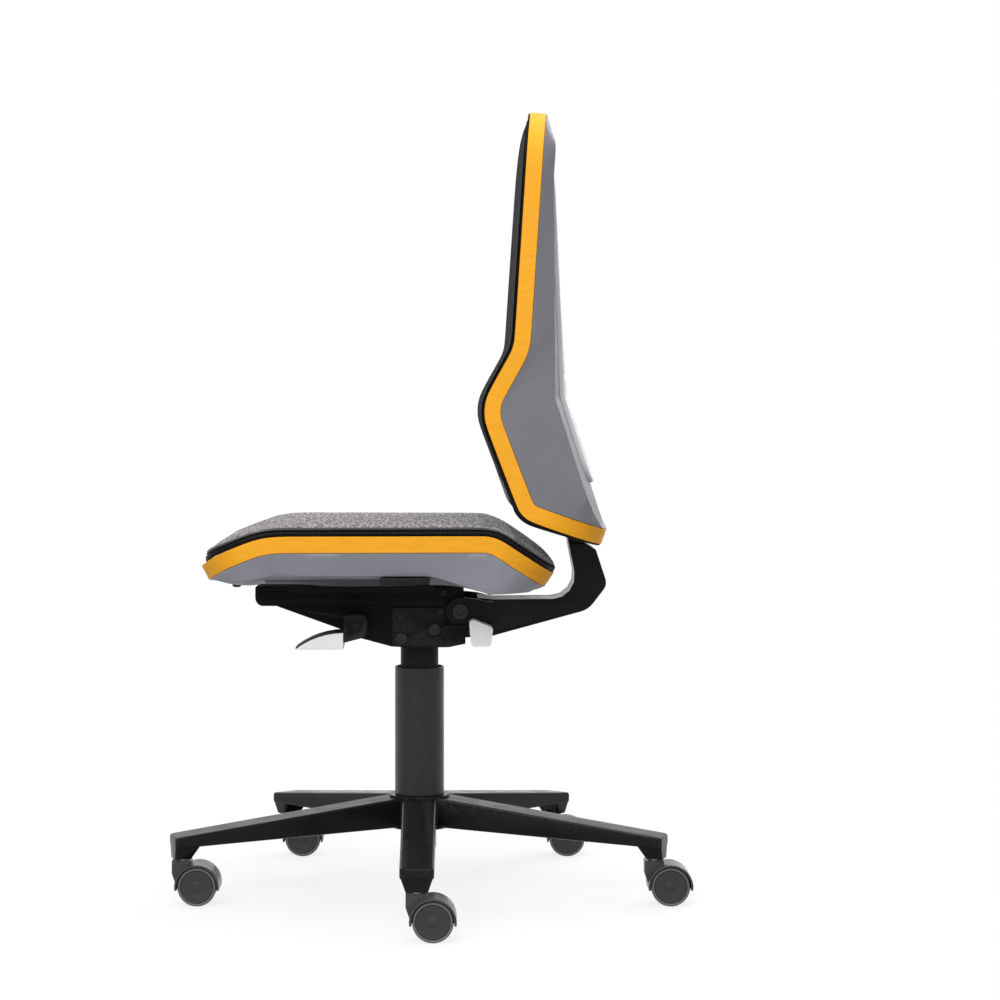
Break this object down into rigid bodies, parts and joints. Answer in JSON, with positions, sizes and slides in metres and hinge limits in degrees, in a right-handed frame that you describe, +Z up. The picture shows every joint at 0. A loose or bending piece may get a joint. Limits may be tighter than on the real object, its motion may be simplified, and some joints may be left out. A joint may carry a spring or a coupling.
{
  "type": "swivel laboratory chair",
  "caption": "Swivel laboratory chair with padded seat and tall reclining backrest edged by flexible bands, gas height column and castor star base.",
  "frame": {"origin": "on the floor under the middle of the chair's footprint", "axes": "+Z up, the sitter faces -Y, +X is the sitter's left hand side"},
  "size_m": [0.6258, 0.6751, 1.0227],
  "materials": {
    "black_metal": "black powder coat",
    "black_plastic": "black moulded plastic, fine grain",
    "bright_steel": "plain steel",
    "castor_charcoal": "charcoal nylon",
    "charcoal_fabric": "dark grey woven cover",
    "lever_light_grey": "light grey lever",
    "orange_band": "flexible orange band",
    "panel_light_grey": "light grey panel",
    "shell_grey": "blue-grey moulded shell",
    "wheel_grey": "soft grey tread on a dark disc"
  },
  "bodies": {
    "base": {"star_base": "black_metal", "column_cover_tube": "black_plastic", "stand_tube": "bright_steel", "guide_bush": "black_plastic", "thrust_bearing": "bright_steel"},
    "column_rod": {"piston_rod": "bright_steel", "rod_clip": "bright_steel"},
    "upper": {"column_sleeve": "black_plastic", "gas_cylinder": "bright_steel", "mechanism_housing": "black_plastic", "seat_carrier": "black_plastic", "front_through_bolt": "bright_steel", "rear_through_bolt": "bright_steel", "backrest_pivot_pin": "bright_steel", "tilt_spring": "bright_steel"},
    "valve": {"gas_valve_pin": "bright_steel"},
    "height_lever": {"height_lever_shaft": "black_plastic", "height_lever_paddle": "lever_light_grey"},
    "rocker": {"release_rocker": "bright_steel"},
    "tilt_lever": {"tilt_lever_shaft": "black_plastic", "tilt_lever_paddle": "lever_light_grey"},
    "push_rod": {"tilt_push_rod": "bright_steel"},
    "bracket": {"back_bracket": "black_plastic"},
    "backrest": {"back_shell": "shell_grey", "back_band": "orange_band", "back_pad_plate": "black_plastic", "back_pad": "charcoal_fabric", "back_rear_panel": "panel_light_grey", "back_carriage": "black_plastic"},
    "seat": {"seat_shell": "shell_grey", "seat_band": "orange_band", "seat_pad_plate": "black_plastic", "seat_pad": "charcoal_fabric", "seat_slide": "black_plastic"},
    "depth_button": {"seat_depth_button": "black_plastic"},
    "castor_1": {"castor_1_hood": "castor_charcoal", "castor_1_stem": "bright_steel", "castor_1_axle": "bright_steel"},
    "castor_1_left": {"castor_1_wheel_left": "wheel_grey"},
    "castor_1_right": {"castor_1_wheel_right": "wheel_grey"},
    "castor_2": {"castor_2_hood": "castor_charcoal", "castor_2_stem": "bright_steel", "castor_2_axle": "bright_steel"},
    "castor_2_left": {"castor_2_wheel_left": "wheel_grey"},
    "castor_2_right": {"castor_2_wheel_right": "wheel_grey"},
    "castor_3": {"castor_3_hood": "castor_charcoal", "castor_3_stem": "bright_steel", "castor_3_axle": "bright_steel"},
    "castor_3_left": {"castor_3_wheel_left": "wheel_grey"},
    "castor_3_right": {"castor_3_wheel_right": "wheel_grey"},
    "castor_4": {"castor_4_hood": "castor_charcoal", "castor_4_stem": "bright_steel", "castor_4_axle": "bright_steel"},
    "castor_4_left": {"castor_4_wheel_left": "wheel_grey"},
    "castor_4_right": {"castor_4_wheel_right": "wheel_grey"},
    "castor_5": {"castor_5_hood": "castor_charcoal", "castor_5_stem": "bright_steel", "castor_5_axle": "bright_steel"},
    "castor_5_left": {"castor_5_wheel_left": "wheel_grey"},
    "castor_5_right": {"castor_5_wheel_right": "wheel_grey"}
  },
  "joints": [
    {"name": "seat_swivel", "type": "hinge", "parent": "base", "child": "column_rod", "pos_m": [-0.03056, -0.0174, 0.1274], "axis": [0, 0, 1], "continuous": true},
    {"name": "seat_lift", "type": "slide", "parent": "column_rod", "child": "upper", "axis": [0, 0, 1], "range_m": [-0.026, 0.138]},
    {"name": "height_lever_turn", "type": "hinge", "parent": "upper", "child": "height_lever", "pos_m": [-0.03056, -0.0974, 0.3612], "axis": [-1, 0, 0], "range_deg": [0, 15], "stiffness_Nm_per_rad": 1.2, "springref_deg": -11.46},
    {"name": "rocker_turn", "type": "hinge", "parent": "upper", "child": "rocker", "pos_m": [-0.03056, 0.0226, 0.3747], "axis": [1, 0, 0], "range_deg": [0, 5]},
    {"name": "valve_press", "type": "slide", "parent": "upper", "child": "valve", "axis": [0, 0, -1], "range_m": [0, 0.0035]},
    {"name": "tilt_lever_turn", "type": "hinge", "parent": "upper", "child": "tilt_lever", "pos_m": [-0.03056, 0.0186, 0.3487], "axis": [1, 0, 0], "range_deg": [0, 25], "stiffness_Nm_per_rad": 0.8, "springref_deg": -11.46},
    {"name": "back_recline", "type": "hinge", "parent": "upper", "child": "bracket", "pos_m": [-0.03056, 0.0367, 0.3742], "axis": [-1, 0, 0], "range_deg": [0, 21], "stiffness_Nm_per_rad": 60, "springref_deg": -20.05},
    {"name": "push_rod_slide", "type": "slide", "parent": "upper", "child": "push_rod", "axis": [0, -1, 0], "range_m": [0, 0.006], "deforming": ["tilt_spring"]},
    {"name": "back_height", "type": "slide", "parent": "bracket", "child": "backrest", "axis": [0, -0.309, 0.9511], "range_m": [0, 0.06]},
    {"name": "seat_depth", "type": "slide", "parent": "upper", "child": "seat", "axis": [0, -1, 0], "range_m": [0, 0.06]},
    {"name": "depth_button_press", "type": "slide", "parent": "seat", "child": "depth_button", "axis": [-1, 0, 0], "range_m": [0, 0.008], "stiffness_N_per_m": 250, "springref_m": -0.006},
    {"name": "castor_1_swivel", "type": "hinge", "parent": "base", "child": "castor_1", "pos_m": [0.28944, -0.0174, 0.0574], "axis": [0, 0, 1], "continuous": true},
    {"name": "castor_1_left_roll", "type": "hinge", "parent": "castor_1", "child": "castor_1_left", "pos_m": [0.28944, 0.0021, 0.025], "axis": [1, 0, 0], "continuous": true},
    {"name": "castor_1_right_roll", "type": "hinge", "parent": "castor_1", "child": "castor_1_right", "pos_m": [0.28944, 0.0021, 0.025], "axis": [1, 0, 0], "continuous": true},
    {"name": "castor_2_swivel", "type": "hinge", "parent": "base", "child": "castor_2", "pos_m": [0.06833, 0.28694, 0.0574], "axis": [0, 0, 1], "continuous": true},
    {"name": "castor_2_left_roll", "type": "hinge", "parent": "castor_2", "child": "castor_2_left", "pos_m": [0.06833, 0.30644, 0.025], "axis": [1, 0, 0], "continuous": true},
    {"name": "castor_2_right_roll", "type": "hinge", "parent": "castor_2", "child": "castor_2_right", "pos_m": [0.06833, 0.30644, 0.025], "axis": [1, 0, 0], "continuous": true},
    {"name": "castor_3_swivel", "type": "hinge", "parent": "base", "child": "castor_3", "pos_m": [-0.28944, 0.17069, 0.0574], "axis": [0, 0, 1], "continuous": true},
    {"name": "castor_3_left_roll", "type": "hinge", "parent": "castor_3", "child": "castor_3_left", "pos_m": [-0.28944, 0.19019, 0.025], "axis": [1, 0, 0], "continuous": true},
    {"name": "castor_3_right_roll", "type": "hinge", "parent": "castor_3", "child": "castor_3_right", "pos_m": [-0.28944, 0.19019, 0.025], "axis": [1, 0, 0], "continuous": true},
    {"name": "castor_4_swivel", "type": "hinge", "parent": "base", "child": "castor_4", "pos_m": [-0.28944, -0.20549, 0.0574], "axis": [0, 0, 1], "continuous": true},
    {"name": "castor_4_left_roll", "type": "hinge", "parent": "castor_4", "child": "castor_4_left", "pos_m": [-0.28944, -0.18599, 0.025], "axis": [1, 0, 0], "continuous": true},
    {"name": "castor_4_right_roll", "type": "hinge", "parent": "castor_4", "child": "castor_4_right", "pos_m": [-0.28944, -0.18599, 0.025], "axis": [1, 0, 0], "continuous": true},
    {"name": "castor_5_swivel", "type": "hinge", "parent": "base", "child": "castor_5", "pos_m": [0.06833, -0.32174, 0.0574], "axis": [0, 0, 1], "continuous": true},
    {"name": "castor_5_left_roll", "type": "hinge", "parent": "castor_5", "child": "castor_5_left", "pos_m": [0.06833, -0.30224, 0.025], "axis": [1, 0, 0], "continuous": true},
    {"name": "castor_5_right_roll", "type": "hinge", "parent": "castor_5", "child": "castor_5_right", "pos_m": [0.06833, -0.30224, 0.025], "axis": [1, 0, 0], "continuous": true}
  ],
  "couplings": [
    {"joint": "rocker_turn", "follows": "height_lever_turn", "ratio": 0.29},
    {"joint": "valve_press", "follows": "height_lever_turn", "m_per_rad": 0.0127},
    {"joint": "push_rod_slide", "follows": "back_recline", "m_per_rad": 0.0152}
  ]
}
